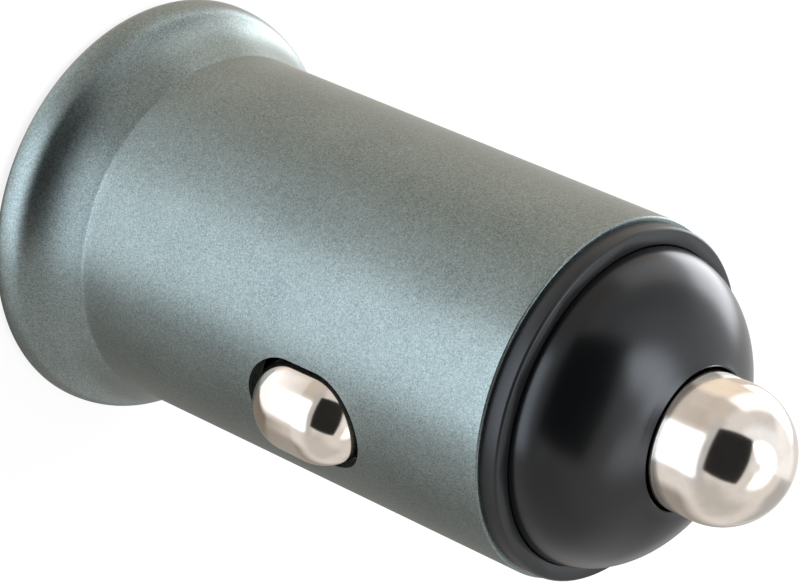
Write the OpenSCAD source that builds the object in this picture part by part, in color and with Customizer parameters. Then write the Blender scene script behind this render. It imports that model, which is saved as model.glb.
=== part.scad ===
// Car USB charger plug: a turned metal shell with two USB ports in its flanged end,
// a plastic nose with a sprung centre tip, and a sprung contact in a slot on each side.
// It stands on its port face. Z runs along the axis from the port face to the tip.
// The ports are stacked along Y, with the circuit board between them in the XZ plane,
// and the side contacts look out along +X and -X. All sizes are in millimetres.
// The ports and the board's parts are bought in, so the rest is built round them: the
// shell is as wide as the ports need, and as long as the rows of parts behind them need.

/* [USB ports] */
// Width of a port shell
port_w = 13.1; // [12.9:0.05:13.3]
// Height of a port shell
port_h = 5.7; // [5.5:0.05:5.9]
// Length of a port shell
port_depth = 12.4; // [11.4:0.2:14]
// Thickness of the port shell's sheet
port_sheet = 0.3; // [0.2:0.05:0.35]
// Corner radius of a port shell
port_corner = 0.6; // [0.4:0.1:0.8]
// Depth of the port's front edge below the fascia's face
port_inset = 0.3; // [0.1:0.1:0.5]
// Gap between the ports' corners and the shell's bore
port_clear = 0.36; // [0.2:0.02:0.6]
// Thickness of the tongue
tongue_t = 1.84; // [1.7:0.02:1.9]
// Room on each side of the tongue
tongue_side_gap = 0.7; // [0.6:0.05:0.9]
// Room between the tongue and the port's outer wall
tongue_back_gap = 0.7; // [0.6:0.05:0.8]
// Distance from the port's front edge to the tongue
tongue_setback = 1; // [0.8:0.1:1.4]
// Length of the block that carries the tongue
block_len = 3.2; // [2.6:0.2:3.6]
// Width of one port contact
pin_strip_w = 1; // [0.8:0.1:1.2]
// Thickness of one port contact
pin_strip_t = 0.2; // [0.15:0.01:0.25]
// Distance of the inner two port contacts from the middle
pin_inner_x = 1; // [0.9:0.05:1.1]
// Distance of the outer two port contacts from the middle
pin_outer_x = 3.5; // [3.3:0.1:3.7]
// Distance from the tongue's front edge to its contacts
pin_setback = 0.8; // [0.5:0.1:1.2]
// Length of the soldered foot of a port contact
pin_foot = 1; // [0.6:0.1:1.2]
// Distance from the port's front edge to its grip fingers
finger_start = 2; // [1.6:0.2:3]
// Width of each grip finger in the port shell
finger_w = 1.8; // [1.4:0.1:2.2]
// Length of each grip finger
finger_len = 5; // [4:0.2:5.6]
// Depth by which a grip finger bends into the port
finger_bend = 0.35; // [0.2:0.05:0.45]
// Width of the slit round a grip finger
finger_slit = 0.25; // [0.15:0.05:0.35]
// Width of a solder leg
leg_w = 1.9; // [1.4:0.1:2.2]
// Distance from the back of the port to the middle of the lower port's legs
leg_back = 3; // [2.4:0.1:3.4]
// Distance along the board between the lower and the upper port's legs
leg_pitch = 4.2; // [3.6:0.1:4.8]
// Room round a leg in its slot in the board
leg_slit = 0.15; // [0.1:0.05:0.2]

/* [Shell] */
// Wall of the shell at its nose end
shell_wall = 0.9; // [0.8:0.05:1.2]
// How much the shell's radius grows from its nose end to the crease
shell_taper = 0.3; // [0.1:0.05:0.6]
// How far the flange stands out beyond the crease
flange_out = 2.1; // [1.8:0.1:3.6]
// Height of the crease where the flare starts, above the port face
flare_h = 5.55; // [5:0.25:8]
// Angle between the body and the flare at the crease
crease_angle = 10; // [4:1:16]
// Radius of the rounded rim
rim_r = 0.9; // [0.6:0.05:1]
// Chamfer on the nose end of the shell
shell_chamfer = 0.25; // [0.1:0.05:0.4]

/* [Fascia] */
// Width of the ledge in the shell that the fascia rests on
ledge_w = 1.4; // [1:0.1:1.6]
// Thickness of the fascia disc
fascia_t = 1.4; // [1:0.1:1.8]
// Depth of the fascia below the rim of the flange
fascia_inset = 0.3; // [0.1:0.05:0.5]
// Length of the two wings that hold the board
wing_len = 7; // [4:0.5:9]
// Width of each wing
wing_w = 7.2; // [5:0.2:7.6]
// Thickness of each wing
wing_t = 0.9; // [0.8:0.05:0.95]
// Room on each side of the light guide, between a port and a wing
lens_gap = 0.25; // [0.15:0.05:0.35]
// Width of the indicator lamp
lamp_w = 0.8; // [0.6:0.1:1]
// Length of the indicator lamp
lamp_len = 1.6; // [1.2:0.1:1.8]
// Height of the indicator lamp
lamp_h = 0.6; // [0.4:0.1:0.8]

/* [Circuit board] */
// Thickness of the board
board_t = 1.2; // [1:0.1:1.6]
// Distance of the board from the back of the fascia
board_setback = 1.2; // [0.8:0.1:1.4]
// Distance from the back of the ports to the end of the board's wide part
board_tail = 1.9; // [1.6:0.1:2.4]
// Distance of the board's long edge from the shell's bore
board_edge_gap = 0.6; // [0.5:0.05:0.8]
// Corner radius of the board's wide part
board_corner = 0.5; // [0.3:0.1:0.8]
// Room beside the narrow part of the board for a side contact that swings in
swing_room = 3.1; // [3:0.1:3.6]

/* [Board parts] */
// Gap between one row of parts and the next
part_gap = 0.3; // [0.2:0.05:0.5]
// Length of the diode across the board
diode_len = 4.3; // [4:0.1:4.6]
// Width of the diode along the board
diode_w = 2.5; // [2.2:0.1:2.8]
// Height of the diode
diode_h = 2; // [1.8:0.1:2.3]
// Width of the diode's tabs
diode_tab_w = 1.5; // [1.2:0.1:1.8]
// Height at which the diode's tabs leave its body
diode_tab_h = 1.1; // [0.9:0.1:1.2]
// Length of the tabs' feet under the diode
diode_foot = 1; // [0.7:0.1:1.2]
// Thickness of the diode's tabs
diode_tab_t = 0.2; // [0.15:0.05:0.25]
// Width of the port controller chip across the board
controller_w = 1.6; // [1.4:0.1:1.8]
// Length of the port controller chip along the board
controller_len = 2.9; // [2.7:0.1:3.1]
// Height of the port controller chip
controller_h = 1.1; // [0.9:0.1:1.3]
// Distance of the controller chip from the middle of the board
controller_x = 2.1; // [2:0.1:2.3]
// How far the controller chip's leads stand out
controller_lead = 0.6; // [0.5:0.1:0.7]
// Distance between the controller chip's leads
controller_pitch = 0.95; // [0.9:0.05:1]
// Width of the fuse across the board
fuse_w = 1.6; // [1.4:0.1:1.8]
// Length of the fuse along the board
fuse_len = 2.6; // [2.2:0.1:3]
// Height of the fuse
fuse_h = 0.8; // [0.6:0.1:1]
// Distance of the fuse from the middle of the board
fuse_x = 2.6; // [2.4:0.1:2.8]
// Length of the converter chip along the board
converter_len = 4.9; // [4.4:0.1:5]
// Width of the converter chip's body
converter_w = 3.9; // [3.6:0.1:4]
// Height of the converter chip's body
converter_h = 1.4; // [1.1:0.1:1.6]
// How far the converter chip's leads stand out
converter_lead = 1; // [0.8:0.1:1.1]
// Distance between the converter chip's leads
converter_pitch = 1.27; // [1.2:0.01:1.3]
// Width of a chip's lead
chip_lead_w = 0.4; // [0.3:0.05:0.5]
// Thickness of a chip's lead
chip_lead_t = 0.15; // [0.1:0.01:0.2]
// Height of the chips and the diode above the board
chip_lift = 0.12; // [0.08:0.01:0.16]
// Width of a ceramic capacitor across the board
ceramic_w = 0.9; // [0.7:0.1:1]
// Length of a ceramic capacitor along the board
ceramic_len = 1.8; // [1.5:0.1:2]
// Height of a ceramic capacitor
ceramic_h = 0.8; // [0.6:0.1:1]
// Distance between two ceramic capacitors along the board
ceramic_pitch = 2.6; // [2.4:0.1:3]
// Width of a chip resistor across the board
resistor_w = 0.8; // [0.6:0.1:0.9]
// Length of a chip resistor along the board
resistor_len = 1.6; // [1.3:0.1:1.7]
// Height of a chip resistor
resistor_h = 0.44; // [0.35:0.01:0.5]
// Distance between two chip resistors along the board
resistor_pitch = 2; // [1.9:0.1:2.2]
// Least distance of the small parts from the board's edge
edge_gap = 0.2; // [0.15:0.05:0.3]
// Diameter of the inductor's flanges
inductor_d = 6.6; // [6:0.1:6.8]
// Height of the inductor
inductor_h = 4.6; // [3.8:0.2:5]
// Diameter of the inductor's waist
inductor_waist_d = 3.2; // [2.8:0.1:3.6]
// Thickness of the inductor's flanges
inductor_end_t = 0.9; // [0.7:0.1:1.1]
// Diameter of the inductor's wire
coil_wire_d = 0.46; // [0.3:0.02:0.5]
// Layers of wire on the inductor
coil_layers = 3; // [2:1:3]
// Diameter of the output capacitor
output_cap_d = 5; // [4.4:0.1:5.2]
// Height of the output capacitor with its base
output_cap_h = 5.5; // [4.6:0.1:6]
// Height of the output capacitor's base
cap_base_h = 0.9; // [0.7:0.1:1.1]
// How far the base stands out beyond the can
cap_base_lip = 0.15; // [0.1:0.05:0.25]
// Cut on two corners of the base
cap_base_cut = 0.8; // [0.6:0.1:1]
// Diameter of the input capacitor
input_cap_d = 6.3; // [5.6:0.1:6.4]
// Length of the input capacitor
input_cap_len = 7.2; // [6.4:0.1:7.5]
// Diameter of the input capacitor's leads
lead_d = 0.5; // [0.4:0.05:0.6]
// Distance between the input capacitor's leads
lead_pitch = 2.5; // [2:0.1:2.6]
// Distance that the leads run out of the input capacitor before they bend
lead_out = 0.6; // [0.5:0.1:0.8]
// Length of the input capacitor's bung
bung_len = 0.9; // [0.7:0.1:1.1]
// Wall of the input capacitor round its bung
can_wall = 0.5; // [0.4:0.05:0.6]
// Rounded edge of a capacitor's can
can_edge = 0.25; // [0.15:0.05:0.35]
// Radius of the crimped groove in a can
crimp_r = 0.3; // [0.2:0.05:0.4]
// Distance of the output capacitor's groove from its base
output_crimp = 0.8; // [0.7:0.1:1.2]
// Distance of the input capacitor's groove from its bung
input_crimp = 0.45; // [0.4:0.05:0.7]

/* [Side contacts] */
// Thickness of the contact's sheet
strip_t = 0.4; // [0.35:0.05:0.45]
// Width of the flat rim round the contact's dome
strip_rim = 0.2; // [0.1:0.05:0.2]
// Gap between the edge of the flat rim and the shell's bore
pad_gap = 0.2; // [0.15:0.05:0.3]
// Radius of the contact's dome across the shell
knob_r = 2.75; // [2.6:0.05:2.85]
// Length of the straight stretch in the middle of the dome
knob_straight = 1.7; // [1.4:0.1:1.8]
// How far the dome stands out beyond the shell's nose end
knob_out = 2; // [1.7:0.05:2.1]
// Gap between the dome and each long side of its slot
knob_side_gap = 0.25; // [0.2:0.05:0.35]
// Gap between the dome and the end of its slot towards the nose
knob_nose_gap = 0.3; // [0.25:0.05:0.5]
// Gap between the dome and the end of its slot towards the flange
knob_flange_gap = 0.5; // [0.45:0.05:0.8]
// Width of the contact's arm and its rolled eye
arm_w = 4; // [3.4:0.1:4.1]
// Distance from the end of the dome to the hinge pin
arm_len = 4.7; // [4.4:0.1:5]
// Lap of the arm on the dome's flat rim
arm_lap = 0.9; // [0.6:0.1:1.2]
// Width of the slit in the rolled eye
eye_slit = 0.3; // [0.2:0.05:0.4]
// Width of the tail that dives under the shell
tail_w = 3.6; // [2.8:0.1:4]
// Length of the tail beyond the dome's rim
tail_len = 0.9; // [0.7:0.05:1]
// Depth that the tail dives
tail_dive = 0.55; // [0.4:0.05:0.65]
// Room beyond the tail for its swing
tail_gap = 1.1; // [0.9:0.1:1.4]
// Diameter of the hinge pin
pivot_d = 1; // [0.8:0.05:1.1]
// Thickness of the ears that hold the hinge pin
ear_t = 1.3; // [1:0.1:1.4]
// Thickness of the tab that joins the hinge pin to the board
tab_t = 0.45; // [0.3:0.05:0.5]
// Width of that tab
tab_w = 1; // [0.8:0.1:1.2]
// Length of the tab's soldered foot
tab_foot = 1.2; // [1:0.1:1.4]

/* [Inner carrier] */
// Thickness of the carrier's tube
carrier_wall = 0.9; // [0.8:0.05:1]
// Distance from the board's wide part to the carrier
carrier_setback = 0.6; // [0.4:0.1:0.8]
// Width of the closed ring at the start of the carrier's tube
carrier_ring = 1.3; // [1:0.1:1.6]
// Room on each side of a contact in its window
window_gap = 0.35; // [0.25:0.05:0.45]
// Thickness of the carrier above its windows
window_roof = 1; // [0.8:0.1:1.4]
// Thickness of the wall between the board and the tip's chamber
bulkhead_t = 1.4; // [1.2:0.1:1.8]
// Distance of the collar's edge from the shell's edge
collar_step = 0.25; // [0.1:0.05:0.4]
// Height of the collar that shows between the shell and the nose
collar_h = 1.1; // [0.9:0.05:1.4]
// Chamfer on the collar's edge
collar_edge = 0.12; // [0.08:0.02:0.2]
// Width of the collar's flat face
collar_face_w = 0.95; // [0.8:0.05:1.1]

/* [Nose] */
// Height of the dome above the collar, up to the edge of the tip's hole
dome_h = 4.95; // [4.75:0.1:5.5]
// Depth of the seat that the dome drops into
dome_seat = 0.3; // [0.2:0.05:0.4]
// Wall of the dome around the tip's hole
dome_lip = 1.45; // [1.2:0.05:1.5]
// Width of the ledge under the dome, outside its skirt
skirt_step = 1.5; // [1.3:0.1:1.7]
// Wall of the dome's skirt
skirt_wall = 1.2; // [1:0.1:1.4]
// Chamfer between the skirt and the roof inside the dome
roof_chamfer = 1; // [0.8:0.1:1.2]

/* [Centre tip] */
// Diameter of the centre tip
tip_d = 7.7; // [7.5:0.05:7.8]
// Length of the tip that stands out of the nose
tip_out = 5.6; // [5.2:0.1:6]
// Distance by which the tip can be pushed in
tip_travel = 2.4; // [2:0.1:2.6]
// Room left between the tip and its terminal when the tip is pushed in
tip_room = 1.94; // [1.5:0.02:2.2]
// How far the tip's retaining flange stands out
tip_lip = 1.05; // [0.9:0.05:1.2]
// Thickness of the tip's retaining flange
tip_flange_t = 1.1; // [0.8:0.1:1.2]
// Wall of the tip round its spring
tip_wall = 0.95; // [0.8:0.05:1.1]
// Thickness of metal at the end of the tip
tip_end_t = 4.2; // [4:0.1:4.6]
// Wire diameter of the tip's spring
spring_wire_d = 0.45; // [0.35:0.05:0.5]
// Gap between the spring and the tip's bore
spring_gap = 0.3; // [0.2:0.05:0.4]
// Turns of the tip's spring
spring_turns = 7; // [5:1:8]
// Thickness of the positive terminal's plate
terminal_t = 0.4; // [0.3:0.05:0.5]
// Gap between the positive terminal's plate and the dome's skirt
terminal_gap = 0.7; // [0.5:0.1:1]
// Height of the terminal's boss inside the spring
boss_h = 0.5; // [0.4:0.1:0.7]
// Width of the positive terminal's tab
terminal_tab_w = 2.4; // [1.8:0.1:2.8]
// Thickness of the positive terminal's tab
terminal_tab_t = 0.3; // [0.25:0.05:0.4]
// Length of the positive terminal's tab
terminal_tab_len = 2.5; // [2.2:0.1:2.8]

/* [Fits] */
// Gap between fixed pieces that slip together
slip_gap = 0.05; // [0.03:0.01:0.08]
// Radial gap of a running fit
run_gap = 0.06; // [0.04:0.01:0.09]
// Radial gap round the centre tip
tip_gap = 0.1; // [0.06:0.01:0.1]
// Gap between neighbours that only pass each other
clear_gap = 0.1; // [0.08:0.01:0.14]
// Gap round what is soldered, moulded or pressed in
press_gap = 0.02; // [0.01:0.01:0.03]

/* [Hidden] */
$fn = 72;
over = 0.5;            // how far a cut runs past the faces it opens
arc_steps = 14;        // straight pieces in each rounded stretch of a turned outline
spring_sides = 8;      // sides of the spring's wire
spring_steps = 18;     // straight pieces in each turn of the spring

metal_grey = [0.40, 0.48, 0.50];
nickel = [0.82, 0.78, 0.73];
plastic_black = [0.06, 0.06, 0.07];
steel = [0.72, 0.73, 0.74];
gold = [0.83, 0.68, 0.36];
copper = [0.72, 0.40, 0.22];
solder_green = [0.08, 0.32, 0.20];

// Ports and their contacts
recess_depth = fascia_inset + fascia_t;
port_front = fascia_inset + port_inset;
port_back = port_front + port_depth;
port_top = board_t / 2 + port_h;
port_mid_y = (board_t + port_h) / 2;
port_in_w = port_w - 2 * port_sheet;
port_in_h = port_h - 2 * port_sheet;
tongue_w = port_in_w - 2 * tongue_side_gap;
tongue_top = port_top - port_sheet - tongue_back_gap;
tongue_low = tongue_top - tongue_t;
tongue_front = port_front + tongue_setback;
pin_rise = port_back + clear_gap + pin_strip_t / 2;
pin_end = pin_rise + pin_foot;
PIN_XS = [-pin_outer_x, -pin_inner_x, pin_inner_x, pin_outer_x];

// Legs of the ports: the upper port's stand clear of the lower port's in the board
leg_x = (port_w - port_sheet) / 2;
leg_low = clear_gap - board_t / 2;
leg_top = board_t / 2 + port_corner + press_gap * 10;
function leg_z(side) = port_back - leg_back - (side > 0 ? leg_pitch : 0);

// Widths of the parts on the board, and of what stands beside them
cap_base_w = output_cap_d + 2 * cap_base_lip;
ceramic_x = cap_base_w / 2 + part_gap + ceramic_w / 2;
resistor_x = converter_w / 2 + converter_lead + part_gap + resistor_w / 2;
parts_half_w = max(ceramic_x + ceramic_w / 2, resistor_x + resistor_w / 2);
eye_r = pivot_d / 2 + run_gap;
eye_out_r = eye_r + strip_t;
knob_w = 2 * knob_r;
pad_w = knob_w + 2 * strip_rim;

// Radii: the bore clears the ports' corners, the side contacts that swing in beside
// the board, and the carrier round the input capacitor
port_reach = norm([port_w / 2 - port_corner, port_top - port_corner]) + port_corner;
swing_reach = norm([parts_half_w + edge_gap + swing_room + eye_out_r, pad_w / 2]);
input_cap_y = board_t / 2 + input_cap_d / 2 + clear_gap;
cap_reach = input_cap_y + input_cap_d / 2;
bore_r = max(port_reach + port_clear, swing_reach + pad_gap,
             cap_reach + clear_gap + carrier_wall + 2 * slip_gap);
nose_r = bore_r + shell_wall;
shell_d = 2 * (nose_r + shell_taper);
flange_d = shell_d + 2 * flange_out;
fascia_d = 2 * (bore_r + ledge_w);
collar_d = 2 * (nose_r - collar_step);
dome_d = collar_d - 2 * collar_face_w;
skirt_r = dome_d / 2 - skirt_step;
skirt_in_r = skirt_r - skirt_wall;
terminal_d = 2 * (skirt_in_r - terminal_gap);
tip_bore_d = tip_d - 2 * tip_wall;
tip_flange_d = tip_d + 2 * tip_lip;
spring_d = tip_bore_d - 2 * spring_gap - spring_wire_d;

// Light guide between a port and a wing of the fascia
wing_r = bore_r - slip_gap;
wing_in_r = wing_r - wing_t;
lens_d = wing_in_r - port_w / 2 - 2 * lens_gap;
lens_x = (wing_in_r + port_w / 2) / 2;
lens_y = board_t / 2 + lamp_h / 2;

// Board and the rows of parts on it
board_front = recess_depth + board_setback;
head_end = port_back + board_tail;
board_head_len = head_end - board_front;
board_head_w = 2 * (bore_r - board_edge_gap);
row_one_half = max(diode_w, controller_len, fuse_len) / 2;
row_two_half = max(cap_base_w, converter_len) / 2;
row_one_z = pin_end + part_gap + row_one_half;
row_two_z = row_one_z + row_one_half + part_gap + row_two_half;
inductor_z = row_two_z + row_two_half + part_gap + inductor_d / 2;
input_lead_z = row_two_z + converter_len / 2 + part_gap + lead_d / 2;
input_cap_z = input_lead_z + lead_out;
parts_end = max(inductor_z + inductor_d / 2, input_cap_z + input_cap_len);

// Side contact: its dome, its slot in the shell, its window in the carrier, its hinge
knob_len = knob_straight + knob_w;
pad_len = knob_len + 2 * strip_rim;
knob_top = nose_r + knob_out;
knob_x = knob_top - knob_r;
slot_w = knob_w + 2 * knob_side_gap;
slot_len = knob_len + knob_nose_gap + knob_flange_gap;
strip_x = sqrt(pow(bore_r - pad_gap, 2) - pow(pad_w / 2, 2));
strip_in_x = strip_x - strip_t;
hinge_x = strip_x - eye_out_r;
board_waist_w = 2 * (hinge_x - swing_room);
carrier_start = head_end + carrier_setback;
window_start = carrier_start + carrier_ring;
pad_end = window_start + tail_gap + tail_dive + tail_len / 2;
knob_z = pad_end + pad_len / 2;
slot_z = knob_z + (knob_nose_gap - knob_flange_gap) / 2;
hinge_z = knob_z + knob_len / 2 + arm_len;
ear_in = arm_w / 2 + clear_gap + tab_t + 2 * clear_gap;

// Carrier, from its tube to the bulkhead that ends the room for the board
carrier_r = bore_r - 2 * slip_gap;
carrier_in_r = carrier_r - carrier_wall;
window_end = hinge_z + eye_out_r + 2 * clear_gap;
window_w = pad_w + 2 * window_gap;
window_x = hinge_x - 2 * eye_out_r;
bulkhead_low = max(window_end + window_roof - bulkhead_t, parts_end + part_gap);
bulkhead_top = bulkhead_low + bulkhead_t;
board_end = bulkhead_low + bulkhead_t / 2 - clear_gap;
terminal_top = bulkhead_top + terminal_t;

// Tip and dome stand on the tip's travel, and the shell ends below the collar
tip_low = terminal_top + boss_h + tip_room + tip_travel;
stop_z = tip_low + tip_flange_t + clear_gap;
hole_edge = stop_z + dome_lip;
tip_end = hole_edge + tip_out;
bore_end = tip_end - tip_end_t;
collar_face = hole_edge - dome_h;
dome_base = collar_face - dome_seat;
skirt_seat = terminal_top + 2 * clear_gap;
shell_len = collar_face - collar_h;
spring_low = terminal_top + spring_wire_d / 2 + slip_gap;
spring_high = bore_end - spring_wire_d / 2 - slip_gap;

// Points of an arc round c, as [radius, height]
function arc(c, r, a0, a1, n = arc_steps) =
    [for (i = [0:n]) c + r * [cos(a0 + (a1 - a0) * i / n), sin(a0 + (a1 - a0) * i / n)]];

// A round-ended slot outline along the first axis
module stadium(length, width) {
    square([length - width, width], center = true);
    for (s = [-1, 1]) translate([s * (length - width) / 2, 0]) circle(d = width);
}

// A rectangle with round corners
module rounded_rect(w, h, r) {
    square([w - 2 * r, h], center = true);
    square([w, h - 2 * r], center = true);
    for (x = [-1, 1], y = [-1, 1])
        translate([x * (w / 2 - r), y * (h / 2 - r)]) circle(r = r, $fn = 32);
}

// Extrudes an outline drawn as [z, y] along X
module across_x(w) {
    rotate([0, -90, 0]) linear_extrude(height = w, center = true) children();
}

// Extrudes an outline drawn as [x, z] along Y
module across_y(w) {
    rotate([90, 0, 0]) linear_extrude(height = w, center = true) children();
}

// Extrudes an outline drawn as [-z, y] outwards along X from the distance x
module out_x(x, h) {
    translate([x, 0, 0]) rotate([0, 90, 0]) linear_extrude(height = h) children();
}

// Sets a part on one face of the board, with its own Z pointing away from the board
module on_board(side, x, z) {
    mirror([0, side < 0 ? 1 : 0, 0])
        translate([x, board_t / 2, z]) rotate([-90, 0, 0]) children();
}

// Port on the +Y face of the board, or its mirror image on the other
module on_side(side) {
    mirror([0, side < 0 ? 1 : 0, 0]) children();
}

// Piece of the +X contact, or its mirror image
module at_contact(side) {
    mirror([side < 0 ? 1 : 0, 0, 0]) children();
}

// A block that stands on the board, lifted by the given height
module block(w, len, h, lift = 0) {
    translate([0, 0, lift + h / 2]) cube([w, len, h], center = true);
}

// Turned shell: rounded rim, trumpet flare, slight taper, chamfered nose end
module body_shell() {
    rim_c = [flange_d / 2 - rim_r, rim_r];
    crease = [shell_d / 2, flare_h];
    normal = [cos(crease_angle), sin(crease_angle)];
    reach = crease - rim_c;
    flare_r = (reach * reach - rim_r * rim_r) / (2 * (rim_r - reach * normal));
    flare_c = crease + flare_r * normal;
    meet = atan2(flare_c.y - rim_c.y, flare_c.x - rim_c.x);
    recess_r = fascia_d / 2 + slip_gap;
    color(metal_grey) difference() {
        rotate_extrude($fn = 144) polygon(concat(
            [[recess_r, 0]],
            arc(rim_c, rim_r, -90, meet),
            arc(flare_c, flare_r, 180 + meet, 180 + crease_angle),
            [[nose_r, shell_len - shell_chamfer], [nose_r - shell_chamfer, shell_len],
             [bore_r, shell_len], [bore_r, recess_depth], [recess_r, recess_depth]]));
        translate([0, 0, slot_z]) out_x(-shell_d, 2 * shell_d) stadium(slot_len, slot_w);
    }
}

// Port fascia: disc with two windows, a hole for the light guide, two grooved wings
module port_fascia() {
    color(plastic_black) difference() {
        union() {
            translate([0, 0, fascia_inset]) cylinder(d = fascia_d, h = fascia_t);
            translate([0, 0, recess_depth]) intersection() {
                difference() {
                    cylinder(r = wing_r, h = wing_len);
                    translate([0, 0, -over]) cylinder(r = wing_in_r, h = wing_len + 2 * over);
                }
                translate([0, 0, wing_len / 2])
                    cube([2 * wing_r, wing_w, wing_len], center = true);
            }
        }
        for (side = [-1, 1]) on_side(side)
            translate([0, port_mid_y, fascia_inset - over])
                linear_extrude(height = fascia_t + over + clear_gap)
                    rounded_rect(port_w + clear_gap, port_h + clear_gap, port_corner);
        translate([-lens_x, lens_y, fascia_inset - over])
            cylinder(d = lens_d + 2 * slip_gap, h = board_front - fascia_inset + over, $fn = 32);
        translate([0, 0, board_front + wing_len / 2 - slip_gap])
            cube([board_head_w + 2 * slip_gap, board_t + 2 * slip_gap, wing_len], center = true);
    }
}

// Light guide and its lamp at the edge of the board
module indicator_lens() {
    color([0.9, 0.95, 1, 0.6]) translate([-lens_x, lens_y, fascia_inset])
        cylinder(d = lens_d, h = fascia_t + board_setback - clear_gap, $fn = 32);
}

module indicator_lamp() {
    color([0.95, 0.93, 0.8]) on_board(1, -lens_x, board_front + lamp_len / 2 + clear_gap)
        block(lamp_w, lamp_len, lamp_h);
}

// Folded port shell: sheet tube with two grip fingers, a closed back and two legs
module port_shell(side) {
    wall_y = port_top - port_sheet;
    finger_z = port_front + finger_start;
    tail_door = 2 * (tongue_low - board_t / 2 + pin_strip_t / 2 + clear_gap);
    color(steel) on_side(side) {
        difference() {
            translate([0, port_mid_y, port_front]) difference() {
                linear_extrude(height = port_depth) rounded_rect(port_w, port_h, port_corner);
                translate([0, 0, -over]) linear_extrude(height = port_depth + over - port_sheet)
                    rounded_rect(port_in_w, port_in_h, port_corner - port_sheet / 2);
            }
            for (x = [-1, 1]) translate([x * port_w / 4, wall_y, finger_z + finger_len / 2])
                cube([finger_w + 2 * finger_slit, 2 * port_sheet + over,
                      finger_len + 2 * finger_slit], center = true);
            translate([0, board_t / 2, port_back])
                cube([2 * pin_outer_x + pin_strip_w + 2 * clear_gap, tail_door,
                      2 * port_sheet + over], center = true);
        }
        for (x = [-1, 1]) translate([x * port_w / 4, 0, 0]) grip_finger(finger_z, wall_y);
        for (x = [-1, 1]) translate([x * leg_x, (leg_top + leg_low) / 2, leg_z(side)])
            cube([port_sheet, leg_top - leg_low, leg_w], center = true);
    }
}

// Grip finger: rooted in the front of the port shell and bent into the port
module grip_finger(z, wall_y) {
    root_z = z - finger_slit - slip_gap;
    bend_z = z + finger_len * 3 / 5;
    tip_z = z + finger_len;
    across_x(finger_w) polygon([
        [root_z, port_top], [bend_z, port_top - finger_bend], [tip_z, port_top],
        [tip_z, wall_y], [bend_z, wall_y - finger_bend], [root_z, wall_y]]);
}

module port_shell_upper() { port_shell(1); }
module port_shell_lower() { port_shell(-1); }

// Outline of one port contact as [z, y], grown by g where it cuts its own channel
module strip_outline(g = 0) {
    t = pin_strip_t / 2 + g;
    start_z = tongue_front + pin_setback - g;
    y = tongue_low;
    foot_y = board_t / 2;
    polygon([[start_z, y + t], [pin_rise + t, y + t],
        [pin_rise + t, foot_y + pin_strip_t + g], [pin_end + g, foot_y + pin_strip_t + g],
        [pin_end + g, foot_y], [pin_rise - t, foot_y], [pin_rise - t, y - t], [start_z, y - t]]);
}

module port_contacts(side) {
    color(gold) on_side(side) for (x = PIN_XS)
        translate([x, 0, 0]) across_x(pin_strip_w) strip_outline();
}

module port_contacts_upper() { port_contacts(1); }
module port_contacts_lower() { port_contacts(-1); }

// Insulator: a tongue with a tapered edge on a block that fills the back of the port
module port_tongue(side) {
    block_back = port_back - port_sheet - slip_gap;
    block_front = block_back - block_len;
    lead = tongue_t / 4;
    color([0.10, 0.10, 0.11]) on_side(side) difference() {
        union() {
            across_x(tongue_w) polygon([[tongue_front, tongue_low + lead],
                [tongue_front + lead, tongue_low], [block_front + over, tongue_low],
                [block_front + over, tongue_top], [tongue_front + lead, tongue_top],
                [tongue_front, tongue_top - lead]]);
            translate([0, port_mid_y, (block_front + block_back) / 2])
                cube([port_in_w - 2 * slip_gap - port_corner, port_in_h - 2 * slip_gap, block_len],
                     center = true);
        }
        for (x = PIN_XS) translate([x, 0, 0])
            across_x(pin_strip_w + 2 * press_gap) strip_outline(press_gap);
    }
}

module port_tongue_upper() { port_tongue(1); }
module port_tongue_lower() { port_tongue(-1); }

// Board: wide between the ports, narrow between the side contacts
module circuit_board() {
    color(solder_green) difference() {
        across_y(board_t) {
            translate([0, (board_front + head_end) / 2])
                rounded_rect(board_head_w, board_head_len, board_corner);
            translate([-board_waist_w / 2, head_end - 2 * board_corner])
                square([board_waist_w, board_end - head_end + 2 * board_corner]);
        }
        for (side = [-1, 1], x = [-1, 1]) translate([x * leg_x, 0, leg_z(side)])
            cube([port_sheet + 2 * leg_slit, board_t + over, leg_w + 2 * leg_slit], center = true);
        for (x = [-1, 1]) translate([x * lead_pitch / 2, 0, input_lead_z]) rotate([90, 0, 0])
            cylinder(d = lead_d + 2 * slip_gap, h = board_t + over, center = true, $fn = 24);
    }
}

// Inductor: ferrite bobbin with its wound wire
module inductor_core() {
    color([0.16, 0.16, 0.17]) on_board(1, 0, inductor_z) {
        cylinder(d = inductor_d, h = inductor_end_t);
        cylinder(d = inductor_waist_d, h = inductor_h);
        translate([0, 0, inductor_h - inductor_end_t]) cylinder(d = inductor_d, h = inductor_end_t);
    }
}

module inductor_winding() {
    low = inductor_end_t + slip_gap;
    high = inductor_h - inductor_end_t - slip_gap;
    turns = floor((high - low) / coil_wire_d);
    pitch = (high - low) / turns;
    in_r = inductor_waist_d / 2 + slip_gap;
    full_r = in_r + coil_wire_d * (coil_layers - 0.5);
    color(copper) on_board(1, 0, inductor_z) rotate_extrude() {
        translate([in_r, low]) square([full_r - in_r, high - low]);
        for (i = [0:turns - 1]) translate([full_r, low + (i + 0.5) * pitch])
            circle(d = pitch, $fn = 16);
    }
}

// Turned can of a capacitor, with rounded edges and a crimped groove at the height crimp_z
module can(r, h, crimp_z) {
    rotate_extrude() polygon(concat([[0, 0], [r - can_edge, 0], [r, can_edge]],
        arc([r, crimp_z], crimp_r, 270, 90, 6),
        [[r, h - can_edge], [r - can_edge, h], [0, h]]));
}

// Output capacitor: a crimped can on a square base with two cut corners
module output_capacitor() {
    color([0.78, 0.79, 0.80]) on_board(1, 0, row_two_z) translate([0, 0, cap_base_h])
        can(output_cap_d / 2, output_cap_h - cap_base_h, output_crimp);
}

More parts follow.
